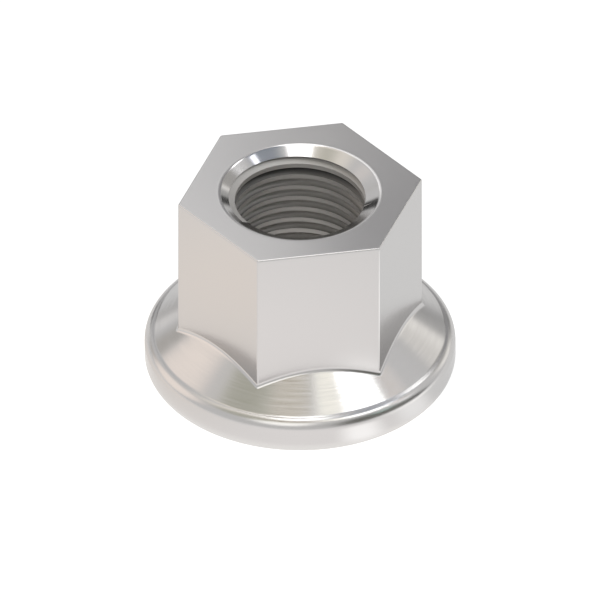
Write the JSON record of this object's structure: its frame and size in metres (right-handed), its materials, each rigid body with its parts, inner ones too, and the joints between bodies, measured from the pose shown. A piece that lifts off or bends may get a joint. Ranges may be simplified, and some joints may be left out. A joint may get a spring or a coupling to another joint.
{
  "type": "hex flange nut",
  "caption": "Tall steel hexagon nut with a conical flange, a countersunk fine-threaded bore and a flat bearing face, for clamping a joint without a separate washer.",
  "frame": {"origin": "centre of the bearing face, on the bore's axis", "axes": "+Z along the bore's axis, from the bearing face to the top face; +X towards a corner of the hexagon, so +Y faces a flat"},
  "size_m": [0.0348, 0.0348, 0.024],
  "materials": {
    "steel": "turned and fine brushed, bright"
  },
  "bodies": {
    "root": {"nut": "steel"}
  },
  "joints": []
}
